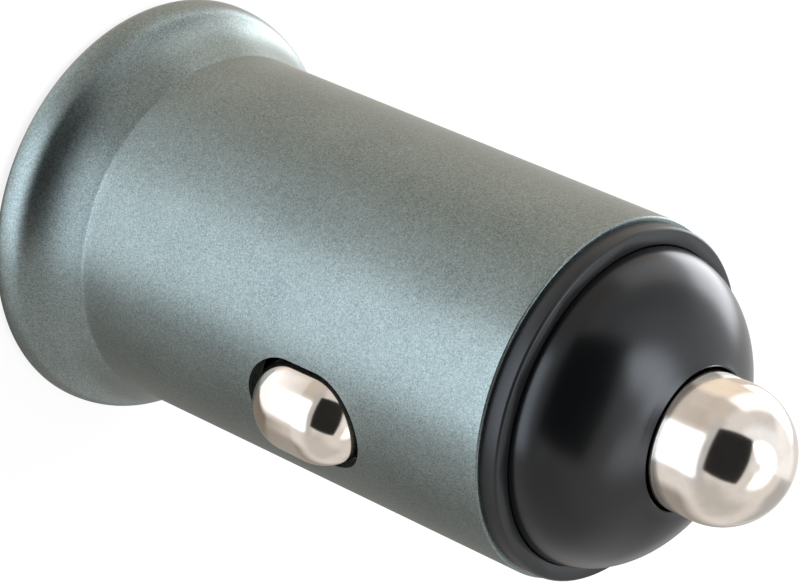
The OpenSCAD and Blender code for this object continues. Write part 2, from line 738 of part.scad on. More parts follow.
module output_capacitor_base() {
    e = cap_base_w / 2;
    c = e - cap_base_cut;
    color(plastic_black) on_board(1, 0, row_two_z) linear_extrude(height = cap_base_h)
        polygon([[-e, -e], [e, -e], [e, c], [c, e], [-c, e], [-e, c]]);
}

// Input capacitor: it lies along the board, with its leads bent down into it
module input_capacitor() {
    r = input_cap_d / 2;
    color([0.12, 0.14, 0.22]) translate([0, -input_cap_y, input_cap_z]) difference() {
        can(r, input_cap_len, bung_len + input_crimp);
        translate([0, 0, -over]) cylinder(r = r - can_wall, h = over + bung_len + slip_gap);
    }
}

module input_capacitor_bung() {
    color([0.2, 0.2, 0.2]) translate([0, -input_cap_y, input_cap_z]) difference() {
        cylinder(r = input_cap_d / 2 - can_wall - slip_gap, h = bung_len);
        for (x = [-1, 1]) translate([x * lead_pitch / 2, 0, -over])
            cylinder(d = lead_d + 2 * press_gap, h = bung_len + 2 * over, $fn = 24);
    }
}

module input_capacitor_leads() {
    drop = input_cap_y + board_t / 2 - clear_gap;
    color(steel) for (x = [-1, 1]) translate([x * lead_pitch / 2, -input_cap_y, input_lead_z]) {
        cylinder(d = lead_d, h = lead_out + bung_len, $fn = 24);
        sphere(d = lead_d, $fn = 24);
        rotate([-90, 0, 0]) cylinder(d = lead_d, h = drop, $fn = 24);
    }
}

// One bent lead of a chip: it leaves at half height, steps down and lies on the board
module gull_lead(from_x, out, half_h) {
    t = chip_lead_t;
    knee = from_x + out / 2;
    end = from_x + out;
    across_y(chip_lead_w) polygon([[from_x, half_h + t], [knee, half_h + t], [knee, t], [end, t],
        [end, 0], [knee - t, 0], [knee - t, half_h], [from_x, half_h]]);
}

// Chips: a block with bent leads on both long sides
module converter_chip() {
    color(plastic_black) on_board(-1, 0, row_two_z)
        block(converter_w, converter_len, converter_h, chip_lift);
}

module converter_leads() {
    color(steel) on_board(-1, 0, row_two_z) for (turn = [0, 180], i = [-1.5:1.5])
        rotate([0, 0, turn]) translate([0, i * converter_pitch, 0])
            gull_lead(converter_w / 2, converter_lead, converter_h / 2);
}

module controller_chip() {
    color(plastic_black) on_board(-1, -controller_x, row_one_z)
        block(controller_w, controller_len, controller_h, chip_lift);
}

module controller_leads() {
    color(steel) on_board(-1, -controller_x, row_one_z) for (turn = [0, 180], i = [-1, 0, 1])
        rotate([0, 0, turn]) translate([0, i * controller_pitch, 0])
            gull_lead(controller_w / 2, controller_lead, controller_h / 2);
}

// Diode with flat tabs folded under its ends
module diode_body() {
    color(plastic_black) on_board(1, 0, row_one_z) block(diode_len, diode_w, diode_h, chip_lift);
}

module diode_tabs() {
    x0 = diode_len / 2;
    color(steel) on_board(1, 0, row_one_z) for (turn = [0, 180]) rotate([0, 0, turn])
        across_y(diode_tab_w) polygon([[x0, diode_tab_h], [x0 + diode_tab_t, diode_tab_h],
            [x0 + diode_tab_t, 0], [x0 - diode_foot, 0], [x0 - diode_foot, chip_lift],
            [x0, chip_lift]]);
}

// Fuse, ceramic capacitors beside the output capacitor, resistors beside the converter
module input_fuse() {
    color([0.85, 0.85, 0.8]) on_board(-1, fuse_x, row_one_z) block(fuse_w, fuse_len, fuse_h);
}

module ceramic_capacitors() {
    color([0.66, 0.52, 0.38]) for (x = [-1, 1], z = [-0.5, 0.5])
        on_board(1, x * ceramic_x, row_two_z + z * ceramic_pitch)
            block(ceramic_w, ceramic_len, ceramic_h);
}

module chip_resistors() {
    color([0.12, 0.12, 0.13]) for (x = [-1, 1], z = [-1, 0, 1])
        on_board(-1, x * resistor_x, row_two_z + z * resistor_pitch)
            block(resistor_w, resistor_len, resistor_h);
}

// Carrier: a tube with two windows, a bulkhead, ears for the hinge pins and the collar
module inner_carrier() {
    color(plastic_black) difference() {
        union() {
            difference() {
                carrier_turning();
                for (side = [-1, 1]) at_contact(side) contact_window();
            }
            for (side = [-1, 1], s = [-1, 1]) at_contact(side) pin_ear(s);
        }
        for (side = [-1, 1]) at_contact(side) pivot_rod(pivot_d / 2 + press_gap);
        translate([0, (board_t + terminal_tab_t) / 2, bulkhead_low + bulkhead_t / 2])
            cube([terminal_tab_w + 2 * slip_gap, terminal_tab_t + 2 * slip_gap,
                  bulkhead_t + over], center = true);
        translate([0, 0, board_end + slip_gap - bulkhead_t / 2])
            cube([board_waist_w + 2 * slip_gap, board_t + 2 * slip_gap, bulkhead_t],
                 center = true);
    }
}

// Outline of the carrier's tube, bulkhead, collar and the stepped seat of the dome
module carrier_turning() {
    seat_r = dome_d / 2 + slip_gap;
    skirt_bore_r = skirt_r + slip_gap;
    rotate_extrude($fn = 120) polygon([
        [carrier_in_r, carrier_start], [carrier_r, carrier_start],
        [carrier_r, shell_len], [collar_d / 2, shell_len],
        [collar_d / 2, collar_face - collar_edge], [collar_d / 2 - collar_edge, collar_face],
        [seat_r, collar_face], [seat_r, dome_base], [skirt_bore_r, dome_base],
        [skirt_bore_r, bulkhead_top], [0, bulkhead_top], [0, bulkhead_low],
        [carrier_in_r, bulkhead_low]]);
}

// Window in the carrier that a side contact swings through
module contact_window() {
    translate([window_x, -window_w / 2, window_start])
        cube([carrier_r - window_x + over, window_w, window_end - window_start]);
}

// One ear beside a window, for the hinge pin
module pin_ear(s) {
    half = eye_out_r + clear_gap;
    intersection() {
        translate([hinge_x - half, s > 0 ? ear_in : -ear_in - ear_t, hinge_z - half])
            cube([2 * half, ear_t, bulkhead_top - hinge_z + half]);
        cylinder(r = carrier_r, h = collar_face, $fn = 120);
    }
}

module pivot_rod(r) {
    translate([hinge_x, 0, hinge_z]) rotate([90, 0, 0])
        cylinder(r = r, h = 2 * (ear_in + ear_t - clear_gap), center = true, $fn = 32);
}

// Positive terminal: a plate and a boss under the spring, with a tab down to the board
module positive_terminal() {
    boss_r = (spring_d - spring_wire_d) / 2 - 2 * slip_gap;
    color(gold) {
        translate([0, 0, bulkhead_top]) cylinder(d = terminal_d, h = terminal_t);
        translate([0, 0, bulkhead_top]) cylinder(r = boss_r, h = terminal_t + boss_h);
        translate([-terminal_tab_w / 2, board_t / 2, bulkhead_top - terminal_tab_len])
            cube([terminal_tab_w, terminal_tab_t, terminal_tab_len + terminal_t / 2]);
    }
}

// Share of the spring's height reached after the share u of its turns: the ends lie flat
end_share = 0.6 / spring_turns;
ease = 0.25;
function spring_rise(u) = u < end_share ? 0 : u > 1 - end_share ? 1
    : (1 - cos(180 * (u - end_share) / (1 - 2 * end_share))) / 2 * ease
      + (u - end_share) / (1 - 2 * end_share) * (1 - ease);

// Coil spring between the terminal and the tip, with closed ends
module tip_spring() {
    steps = spring_turns * spring_steps;
    n = spring_sides;
    wire_r = spring_wire_d / 2;
    points = [for (i = [0:steps], k = [0:n - 1])
        let (turn = 360 * i / spring_steps, a = 360 * k / n, r = spring_d / 2 + wire_r * cos(a))
        [r * cos(turn), r * sin(turn),
         spring_low + (spring_high - spring_low) * spring_rise(i / steps) + wire_r * sin(a)]];
    faces = concat([[for (k = [0:n - 1]) k]],
        [for (i = [0:steps - 1], k = [0:n - 1]) let (m = (k + 1) % n)
            [i * n + k, (i + 1) * n + k, (i + 1) * n + m, i * n + m]],
        [[for (k = [n - 1:-1:0]) steps * n + k]]);
    color(steel) polyhedron(points, faces, convexity = 10);
}

// Centre tip: a turned bullet with a flange inside the nose and a bore for the spring
module centre_tip() {
    r = tip_d / 2;
    flange_top = tip_low + tip_flange_t;
    color(nickel) rotate_extrude($fn = 96) polygon(concat(
        [[tip_bore_d / 2, tip_low], [tip_flange_d / 2, tip_low],
         [tip_flange_d / 2, flange_top], [r, flange_top]],
        arc([0, tip_end - r], r, 0, 90, 20),
        [[0, bore_end], [tip_bore_d / 2, bore_end]]));
}

// Nose: a hollow dome over the tip's flange, with a skirt down into the carrier
module nose_dome() {
    r = dome_d / 2;
    hole_r = tip_d / 2 + tip_gap;
    full_h = (hole_edge - dome_base) / sqrt(1 - pow(hole_r / r, 2));
    edge_a = acos(hole_r / r);
    color(plastic_black) rotate_extrude($fn = 120) polygon(concat(
        [[skirt_in_r, skirt_seat], [skirt_r, skirt_seat], [skirt_r, dome_base]],
        [for (i = [0:24]) let (a = edge_a * i / 24) [r * cos(a), dome_base + full_h * sin(a)]],
        [[hole_r, stop_z], [skirt_in_r - roof_chamfer, stop_z],
         [skirt_in_r, stop_z - roof_chamfer]]));
}

// Hinge pin of a side contact
module pivot_pin(side) {
    color(steel) at_contact(side) pivot_rod(pivot_d / 2);
}

module pivot_pin_left() { pivot_pin(-1); }
module pivot_pin_right() { pivot_pin(1); }

// Tab that joins a hinge pin to the board: an eye, a strap and a soldered foot
module ground_tab(side) {
    y0 = arm_w / 2 + clear_gap;
    edge = board_waist_w / 2;
    low = hinge_z - tab_w / 2;
    color(gold) at_contact(side) {
        difference() {
            union() {
                translate([hinge_x, y0, hinge_z]) rotate([-90, 0, 0])
                    cylinder(r = eye_out_r, h = tab_t, $fn = 32);
                translate([edge - tab_t, y0, low]) cube([hinge_x - edge + tab_t, tab_t, tab_w]);
            }
            pivot_rod(pivot_d / 2 + press_gap);
        }
        translate([edge - tab_t, board_t / 2, low]) cube([tab_t, y0 + tab_t - board_t / 2, tab_w]);
        translate([edge - tab_foot, board_t / 2, low]) cube([tab_foot, tab_t, tab_w]);
    }
}

module ground_tab_left() { ground_tab(-1); }
module ground_tab_right() { ground_tab(1); }

// Domed knob of a side contact, shrunk by g for its hollow underside
module knob(g, floor_x) {
    r = knob_r - g;
    intersection() {
        translate([knob_x, 0, knob_z]) rotate_extrude() intersection() {
            union() {
                square([2 * r, knob_straight], center = true);
                for (s = [-1, 1]) translate([0, s * knob_straight / 2]) circle(r = r);
            }
            translate([0, -knob_len]) square([knob_len, 2 * knob_len]);
        }
        translate([knob_x, -knob_len, knob_z - knob_len]) cube(2 * knob_len);
    }
    translate([0, 0, knob_z]) out_x(floor_x, knob_x - floor_x)
        stadium(knob_straight + 2 * r, 2 * r);
}

// Side contact, stamped from one strip: rolled eye, arm, hollow dome, diving tail
module ground_contact(side) {
    arm_start = knob_z + knob_len / 2 - arm_lap;
    color(nickel) at_contact(side) {
        difference() {
            union() {
                knob(0, strip_in_x);
                translate([0, 0, knob_z]) out_x(strip_in_x, strip_t) stadium(pad_len, pad_w);
            }
            knob(strip_t, strip_in_x - over);
        }
        difference() {
            union() {
                translate([hinge_x, 0, hinge_z]) rotate([90, 0, 0])
                    cylinder(r = eye_out_r, h = arm_w, center = true, $fn = 48);
                translate([strip_in_x, -arm_w / 2, arm_start])
                    cube([strip_t, arm_w, hinge_z - arm_start]);
            }
            translate([hinge_x, 0, hinge_z]) rotate([90, 0, 0])
                cylinder(r = eye_r, h = arm_w + 2 * over, center = true, $fn = 48);
            translate([hinge_x - eye_out_r / 2, 0, hinge_z - eye_out_r / 2])
                cube([eye_out_r, arm_w + 2 * over, eye_slit], center = true);
            knob(strip_t, strip_in_x - over);
        }
        contact_tail();
    }
}

// Tail of a side contact: it runs on from the flat rim and dives at 45 degrees
module contact_tail() {
    bend = pad_end - tail_len / 2;
    miter = strip_t * tan(22.5);
    depth = strip_t * cos(45);
    root = pad_end + tail_len / 2;
    across_y(tail_w) polygon([[strip_x, root], [strip_x, bend],
        [strip_x - tail_dive, bend - tail_dive],
        [strip_x - tail_dive - depth, bend - tail_dive + depth],
        [strip_in_x, bend + miter], [strip_in_x, root]]);
}

module ground_contact_left() { ground_contact(-1); }
module ground_contact_right() { ground_contact(1); }

body_shell();
port_fascia();
indicator_lens();
indicator_lamp();
port_shell_upper();
port_shell_lower();
port_tongue_upper();
port_tongue_lower();
port_contacts_upper();
port_contacts_lower();
circuit_board();
inductor_core();
inductor_winding();
output_capacitor();
output_capacitor_base();
input_capacitor();
input_capacitor_bung();
input_capacitor_leads();
converter_chip();
converter_leads();
controller_chip();
controller_leads();
diode_body();
diode_tabs();
input_fuse();
ceramic_capacitors();
chip_resistors();
inner_carrier();
positive_terminal();
tip_spring();
centre_tip();
nose_dome();
pivot_pin_left();
pivot_pin_right();
ground_tab_left();
ground_tab_right();
ground_contact_left();
ground_contact_right();
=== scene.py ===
"""Looks of the car USB charger plug: camera, studio, finishes and the pieces on the CAD frame."""

import math

import bmesh
import bpy
from mathutils import Matrix, Vector


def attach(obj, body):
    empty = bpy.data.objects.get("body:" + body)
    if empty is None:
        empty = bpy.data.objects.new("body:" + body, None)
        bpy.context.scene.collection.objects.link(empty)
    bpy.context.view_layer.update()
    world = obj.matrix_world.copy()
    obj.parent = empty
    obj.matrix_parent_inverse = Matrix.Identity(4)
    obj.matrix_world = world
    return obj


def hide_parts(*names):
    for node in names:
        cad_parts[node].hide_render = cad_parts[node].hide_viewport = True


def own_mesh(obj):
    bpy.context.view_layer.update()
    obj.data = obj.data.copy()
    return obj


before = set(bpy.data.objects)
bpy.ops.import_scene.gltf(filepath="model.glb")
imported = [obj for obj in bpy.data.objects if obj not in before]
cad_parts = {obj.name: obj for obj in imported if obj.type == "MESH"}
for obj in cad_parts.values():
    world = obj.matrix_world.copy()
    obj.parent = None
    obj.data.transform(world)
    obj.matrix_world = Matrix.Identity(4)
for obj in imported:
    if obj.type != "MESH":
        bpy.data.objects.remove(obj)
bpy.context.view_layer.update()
MM = 0.001  # metres

# Sizes of the part's source that the finished pieces repeat, in millimetres
BORE_R, NOSE_R, CREASE_R, FLANGE_R, RIM_R = 9.2, 10.1, 10.4, 12.5, 0.9
FLARE_H, SHELL_LEN, RECESS_R, RECESS_DEPTH = 5.55, 35.0, 10.65, 1.7
SLOT_Z, SLOT_LEN, SLOT_W, SLOT_REACH = 22.6, 8.0, 6.0, 14
DOME_R, DOME_BASE, HOLE_R, HOLE_EDGE = 8.9, 35.8, 3.95, 41.05
SKIRT_R, SKIRT_BORE_R, SKIRT_END, STOP_R, STOP_Z = 7.4, 6.2, 33.76, 5.2, 39.6
TIP_R, TIP_END, TIP_LOW, TIP_BORE_R, TIP_BORE_END = 3.85, 46.65, 38.4, 2.9, 42.45
TIP_FLANGE_R, TIP_FLANGE_TOP = 4.9, 39.5
SPRING_LOW, SPRING_HIGH, SPRING_D, SPRING_WIRE, SPRING_TURNS = 33.835, 42.175, 4.75, 0.45, 7
PIN_INNER, PIN_OUTER = 1.0, 3.5

# The tip spring: the share of its turns closed at each end, its seat, and the share of its length
# that it keeps when the tip is pressed in
SPRING_END_SHARE, SPRING_SEAT, SPRING_KEEP = 0.11, 33.61, 0.72

# The choke's winding: turns, a little short of whole so that the ends stay apart, height, place,
# and the radius and wire of each layer
WINDING_TURNS, WINDING_H, WINDING_Y, WINDING_Z = 4.98, 2.7, 1.55, 26.6
WINDING_LAYERS = ((2.8, 0.54), (2.31, 0.44), (1.87, 0.42))

# Forms of the shell that only the looks have: the height of the rim's crown, the angle where it
# ends and its steps, the angle of the flare at the crease, and the chamfer of the bright lip
RIM_RISE, CROWN_END, CROWN_STEP, CREASE_ANGLE, SHELL_CHAMFER = 1.75, 64, 4, 22.0, 0.08

# Small eased edges, and faces of the turned, wound and bevelled pieces
EASE, LIP_EASE, CREASE_EASE = 0.06, 0.08, 0.02
SHELL_STEPS, DOME_STEPS, TIP_STEPS, SLOT_STEPS = 288, 240, 192, 64
RIM_STEPS, FLARE_STEPS, DOME_CURVE_STEPS, BALL_STEPS, COIL_STEPS, WIRE_STEPS = 10, 24, 48, 40, 40, 12
BEVEL_ANGLE, BEVEL_SHARP_ANGLE = 30, 35

# The photograph's camera: pixels, degrees and millimetres
FOCAL_PX, PHOTO_W, SENSOR_W, AIM_PX = 3042.0, 800, 36.0, (204.83, -107.80)
CAMERA_TILT, CAMERA_ROLL, CAMERA_AZIMUTH, CAMERA_DISTANCE = 56.95, 23.83, -45.5, 160.2

# Soft panels of the studio as reflections see them: azimuths from the camera's and elevations in
# degrees, softness of the edge, brightness, and warmth from 0, cool, to 1
PANELS = (
    (-60, 60, -91, -36, 12, 1.45, 0.3),
    (-181, -60, -91, -36, 12, 0.85, 1.0),
    (60, 181, -91, -36, 12, 0.22, 1.0),
    (-80, -18, -36, 9, 8, 0.62, 0.8),
    (-130, -80, -36, -14, 8, 0.95, 1.1),
    (-160, -130, -36, -20, 6, 0.75, 1.1),
    (45, 90, -36, 10, 10, 0.85, 0.5),
    (90, 181, -36, -20, 12, 0.25, 1.0),
    (55, 125, -8, 34, 10, 0.62, 0.6),
    (150, 181, -10, 36, 8, 0.5, 0.5),
    (-80, -47, 9, 36, 6, 0.8, 0.5),
    (-125, -80, 12, 36, 6, 0.8, 0.5),
    (-130, -50, 36, 60, 8, 1.1, 0.3),
    (-181, -125, 10, 60, 8, 1.15, 0.4),
    (-181, 181, 78, 91, 6, 1.0, 0.4),
    (-45, 60, -2, 12, 5, 0.60, 0.4),
    (100, 181, 60, 80, 8, 2.4, 0.4),
    (-181, -60, 60, 80, 7, 5.0, 0.2),
    (-126, -78, -12, 12, 6, 1.7, 0.5),
    (-155, -126, -22, 12, 5, 4.9, 0.4),
    (-11, 51, -37, -4, 6, 3.0, 0.0),
)
LEVEL, LEVEL_WARMTH, ROOM_GREY = 0.82, 0.6, 0.78

# The dark opening between the softboxes: its direction, half sizes as tangents, edge and brightness
WINDOW_AZIMUTH, WINDOW_ELEVATION, WINDOW_W, WINDOW_H = 3, 42, 0.78, 0.62
WINDOW_EDGE, WINDOW_LEVEL = 0.05, 0.02

# The floor's half size in metres, its drop under the part, and how far it is lit by itself
FLOOR_HALF, FLOOR_DROP, FLOOR_WHITE = 4.0, 0.02, 0.8

# The height on the part that the softboxes aim at
SOFTBOX_AIM = 20


# Camera

def make_camera():
    """The photograph's camera: well off the axis, rolled, aimed past the nose end."""
    tilt, roll, azimuth = (math.radians(a) for a in (CAMERA_TILT, CAMERA_ROLL, CAMERA_AZIMUTH))
    distance, target = CAMERA_DISTANCE * MM, Vector((0, 0, SHELL_LEN * MM))
    out = Vector((math.sin(tilt) * math.cos(azimuth), math.sin(tilt) * math.sin(azimuth),
                  math.cos(tilt)))
    forward = -out
    up = (Vector((0, 0, 1)) - out * out.z).normalized()
    side = up.cross(forward)
    right = math.cos(roll) * up + math.sin(roll) * side
    down = math.sin(roll) * up - math.cos(roll) * side
    base = Matrix((right, -down, -forward)).transposed()
    to_target = Vector((*AIM_PX, -FOCAL_PX)).rotation_difference(Vector((0, 0, -1)))
    data = bpy.data.cameras.new("photo_camera")
    data.sensor_fit, data.sensor_width = "HORIZONTAL", SENSOR_W
    data.lens = FOCAL_PX / PHOTO_W * SENSOR_W
    data.clip_start, data.clip_end = 0.005, 20.0
    camera = bpy.data.objects.new("photo_camera", data)
    bpy.context.scene.collection.objects.link(camera)
    camera.matrix_world = Matrix.Translation(target + out * distance) @ (
        base @ to_target.to_matrix()).to_4x4()
    bpy.context.scene.camera = camera


# Shader maths

class Value:
    """One output in a node tree. Sums and products of values add Math nodes."""

    def __init__(self, tree, socket):
        self.tree, self.socket = tree, socket

    def math(self, operation, *terms):
        """A Math node on these terms."""
        return self.tree.node("ShaderNodeMath", {"operation": operation}, dict(enumerate(terms)))

    def __add__(self, other): return self.math("ADD", self, other)
    def __radd__(self, other): return self.math("ADD", other, self)
    def __sub__(self, other): return self.math("SUBTRACT", self, other)
    def __rsub__(self, other): return self.math("SUBTRACT", other, self)
    def __mul__(self, other): return self.math("MULTIPLY", self, other)
    def __rmul__(self, other): return self.math("MULTIPLY", other, self)
    def __truediv__(self, other): return self.math("DIVIDE", self, other)
    def __abs__(self): return self.math("ABSOLUTE", self)

    def twin(self, output):
        """Another output of the same node."""
        return Value(self.tree, self.socket.node.outputs[output])

    def clamp(self):
        """Held between 0 and 1."""
        return self.tree.node("ShaderNodeClamp", None, {0: self, 1: 0.0, 2: 1.0})

    def step(self, low, high):
        """0 below low, 1 above high, smooth between."""
        return self.tree.node("ShaderNodeMapRange", {"interpolation_type": "SMOOTHSTEP"},
                              {0: self, 1: low, 2: high, 3: 0.0, 4: 1.0})


class Tree:
    """A node tree under construction."""

    def __init__(self, tree):
        self.tree = tree
        self.tree.nodes.clear()

    def node(self, kind, settings=None, inputs=None, out=0):
        """Adds a node: its settings first, then the values or links of its sockets."""
        made = self.tree.nodes.new(kind)
        for key, value in (settings or {}).items():
            setattr(made, key, value)
        for key, value in (inputs or {}).items():
            if isinstance(value, Value):
                self.tree.links.new(value.socket, made.inputs[key])
            else:
                made.inputs[key].default_value = value
        return Value(self, made.outputs[out]) if len(made.outputs) else None


class Finish(Tree):
    """The node tree of a material, or of the world."""

    def __init__(self, owner):
        self.owner = owner
        owner.use_nodes = True
        super().__init__(owner.node_tree)

    def place(self):
        """Object coordinates, in metres."""
        return self.node("ShaderNodeTexCoord", out="Object")

    def noise(self, size_mm, detail=2.0, rough=0.5, stretch=(1, 1, 1), offset=0.0):
        """Noise of 0 to 1 with features of about size_mm, drawn out along an axis by stretch."""
        at = self.node("ShaderNodeMapping", None, {
            "Vector": self.place(), "Location": (offset, offset, offset),
            "Scale": tuple(1 / s for s in stretch)})
        return self.node("ShaderNodeTexNoise", None, {
            "Vector": at, "Scale": 1 / (size_mm * MM), "Detail": detail, "Roughness": rough})

    def specks(self, size_mm):
        """Cells of about size_mm, each with its own random value."""
        at = self.node("ShaderNodeMapping", None, {"Vector": self.place()})
        cell = self.node("ShaderNodeTexVoronoi", None, {
            "Vector": at, "Scale": 1 / (size_mm * MM)}, out="Color")
        return self.node("ShaderNodeSeparateColor", None, {0: cell})

    def blend(self, low, high, share):
        """Colour low to high by share."""
        return self.node("ShaderNodeMix", {"data_type": "RGBA"}, {0: share, 6: low, 7: high}, out=2)

    def bump(self, height, depth_mm, strength, under=None):
        """Normal of a relief of this depth, on top of another one if given."""
        inputs = {"Strength": strength, "Distance": depth_mm * MM, "Height": height}
        if under is not None:
            inputs["Normal"] = under
        return self.node("ShaderNodeBump", None, inputs)

    def surface(self, **sockets):
        """Ends the tree in a Principled shader with these sockets, named with underscores."""
        shader = self.node("ShaderNodeBsdfPrincipled", None,
                           {name.replace("_", " "): value for name, value in sockets.items()})
        self.node("ShaderNodeOutputMaterial", None, {"Surface": shader})
        return self.owner


class Shape(Tree):
    """A Geometry Nodes tree with named sizes, which makes what repeats or follows a path."""

    def __init__(self, name):
        super().__init__(bpy.data.node_groups.new(name, "GeometryNodeTree"))
        for way in ("INPUT", "OUTPUT"):
            self.tree.interface.new_socket("Geometry", in_out=way, socket_type="NodeSocketGeometry")
        self.start = self.tree.nodes.new("NodeGroupInput")

    def size(self, name, kind="Float"):
        """Adds a named input."""
        self.tree.interface.new_socket(name, in_out="INPUT", socket_type="NodeSocket" + kind)
        return Value(self, self.start.outputs[name])

    def finish(self, geometry):
        """Ends the tree: instances made real, the finish set from its own input."""
        real = self.node("GeometryNodeRealizeInstances", None, {0: geometry})
        done = self.node("GeometryNodeSetMaterial", None, {
            "Geometry": real, "Material": self.size("Finish", "Material")})
        self.node("NodeGroupOutput", None, {0: done})

    def grow(self, mesh, **sizes):
        """The tree's result as a plain mesh, from a starting mesh and the sizes given."""
        carrier = add_object("carrier", mesh)
        modifier = carrier.modifiers.new("shape", "NODES")
        modifier.node_group = self.tree
        for item in self.tree.interface.items_tree:
            if item.in_out == "INPUT" and item.name.lower() in sizes:
                modifier[item.identifier] = sizes[item.name.lower()]
        graph = bpy.context.evaluated_depsgraph_get()
        grown = bpy.data.meshes.new_from_object(carrier.evaluated_get(graph))
        bpy.data.objects.remove(carrier)
        return grown


def rgb(red, green, blue):
    """A colour as the eye reads it on a screen, 0 to 255, turned into light."""
    def light(c):
        c /= 255
        return c / 12.92 if c <= 0.04045 else ((c + 0.055) / 1.055) ** 2.4
    return (light(red), light(green), light(blue), 1.0)


def new_finish(name):
    """A new material of this name, ready for its nodes."""
    return Finish(bpy.data.materials.new(name))


# Finishes

def anodised_shell():
    """Bead-blasted, anodised metal: a fine sparkle, faint cloudiness, a matt surface."""
    f = new_finish("shell_metal")
    grain = f.noise(0.07, 2.0, 0.6)
    sparkle = f.specks(0.06)
    cloud = f.noise(5.0, 2.0)
    tone = (0.5 + 1.35 * (grain - 0.5) + 0.45 * (sparkle - 0.5) + 0.25 * (cloud - 0.5)).clamp()
    colour = f.blend(rgb(88, 98, 96), rgb(162, 172, 168), tone)
    rough = 0.29 + 0.08 * grain + 0.05 * sparkle
    relief = f.bump(grain + 0.5 * sparkle, 0.006, 0.5)
    return f.surface(Base_Color=colour, Metallic=1.0, Roughness=rough, Normal=relief)


def satin_plastic(name, dark, light, grain_mm, rough, relief_mm):
    """Moulded plastic: a spark-eroded grain, slightly uneven gloss."""
    f = new_finish(name)
    grain = f.noise(grain_mm, 3.0, 0.6)
    wave = f.noise(4.0, 2.0)
    colour = f.blend(dark, light, (0.6 * grain + 0.4 * wave).clamp())
    relief = f.bump(grain, relief_mm, 0.6)
    gloss = rough + 0.1 * (grain - 0.5) + 0.06 * (wave - 0.5)
    return f.surface(Base_Color=colour, Roughness=gloss, Normal=relief)


def bright_nickel(name, tint, rough, polish):
    """Polished nickel plating: faint polishing marks, a slight orange peel and a warm bloom."""
    f = new_finish(name)
    peel = f.noise(1.4, 1.0)
    marks = f.noise(0.09, 2.0, 0.6, polish)
    stain = f.noise(2.6, 3.0, 0.6, offset=0.02)
    dull = tuple(c * 0.89 for c in tint[:3]) + (1,)
    colour = f.blend(dull, tint, stain.step(0.35, 0.6))
    relief = f.bump(marks, 0.0006, 0.6, under=f.bump(peel, 0.006, 0.5))
    return f.surface(Base_Color=colour, Metallic=1.0,
                     Roughness=rough + 0.05 * marks + 0.04 * stain.step(0.5, 0.75), Normal=relief)


def worn_metal(name, low, high, rough, size_mm, stretch=(1, 1, 1)):
    """Plain plated or rolled metal with fine marks."""
    f = new_finish(name)
    marks = f.noise(size_mm, 4.0, 0.6, stretch)
    colour = f.blend(low, high, marks.step(0.3, 0.7))
    return f.surface(Base_Color=colour, Metallic=1.0, Roughness=rough + 0.15 * (marks - 0.5),
                     Normal=f.bump(marks, 0.002, 0.4))


def grained(name, low, high, rough, size_mm, relief_mm=0.004, **more):
    """A plain body colour with grain, for resin, ceramic, rubber and ferrite."""
    f = new_finish(name)
    grain = f.noise(size_mm, 4.0, 0.6)
    return f.surface(Base_Color=f.blend(low, high, grain.step(0.3, 0.7)),
                     Roughness=rough + 0.15 * (grain - 0.5),
                     Normal=f.bump(grain, relief_mm, 0.5), **more)


def board_lacquer():
    """Green solder lacquer over glass cloth, with a faint weave and bare copper under it."""
    f = new_finish("board_green")
    across = f.node("ShaderNodeSeparateXYZ", None, {0: f.place()}, out="X")
    along = across.twin("Z")
    weave = across.math("SINE", across * 9000.0) * along.math("SINE", along * 9000.0)
    copper = f.noise(2.2, 0.0, stretch=(1, 1, 2.5)).step(0.48, 0.52)
    share = (0.7 * copper + 0.15 * weave + 0.15).clamp()
    colour = f.blend(rgb(18, 74, 46), rgb(30, 104, 62), share)
    return f.surface(Base_Color=colour, Roughness=0.32 + 0.04 * weave, Coat_Weight=0.3,
                     Normal=f.bump(0.2 * weave + copper, 0.012, 0.5))


def clear_guide():
    """Milky clear plastic of the light guide."""
    f = new_finish("clear_lens")
    haze = f.noise(0.5, 2.0)
    colour = f.blend(rgb(225, 232, 238), rgb(246, 249, 252), haze)
    return f.surface(Base_Color=colour, Roughness=0.12 + 0.1 * haze, Transmission_Weight=0.55,
                     IOR=1.49, Normal=f.bump(haze, 0.004, 0.4))


